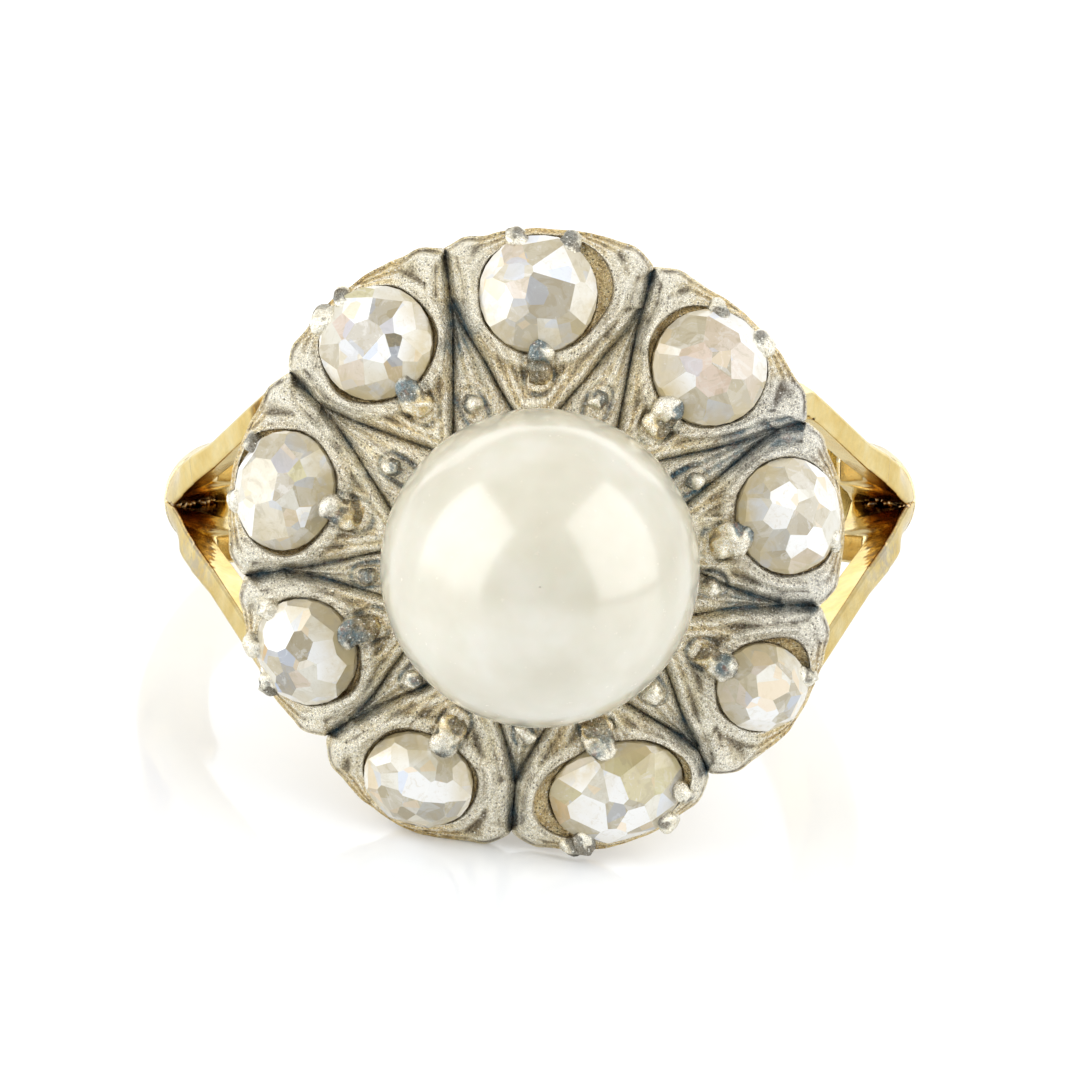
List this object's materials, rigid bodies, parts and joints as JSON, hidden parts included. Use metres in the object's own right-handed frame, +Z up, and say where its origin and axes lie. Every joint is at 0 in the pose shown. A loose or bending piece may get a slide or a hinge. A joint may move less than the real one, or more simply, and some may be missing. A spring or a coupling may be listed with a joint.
{
  "type": "pearl and diamond ring",
  "caption": "Gold finger ring with split shoulders and a round silver cluster head, a pearl ringed by old-cut diamonds, lying on its side.",
  "frame": {"origin": "middle of the bottom of the ring's box, on the surface that the ring lies on", "axes": "+Z up, -Y towards the head and pearl, +X across the finger; the finger hole's axis leans 19.6 degrees from +Z, towards +Y and a little to -X"},
  "size_m": [0.0206, 0.0279, 0.0162],
  "materials": {
    "gold": "polished yellow gold with fine wear and a brown patina inside the split shoulders",
    "silver": "cast antique silver, warm and pitted, with blue-black tarnish in the grooves",
    "pearl": "cream nacre with a soft lustre and a few small blemishes",
    "diamond": "old rose and table cuts, clear to slightly milky"
  },
  "bodies": {
    "root": {"shank": "gold", "cluster_head": "silver", "pearl": "pearl", "pearl_post": "gold", "diamond_1": "diamond", "diamond_2": "diamond", "diamond_3": "diamond", "diamond_4": "diamond", "diamond_5": "diamond", "diamond_6": "diamond", "diamond_7": "diamond", "diamond_8": "diamond", "diamond_9": "diamond"}
  },
  "joints": []
}
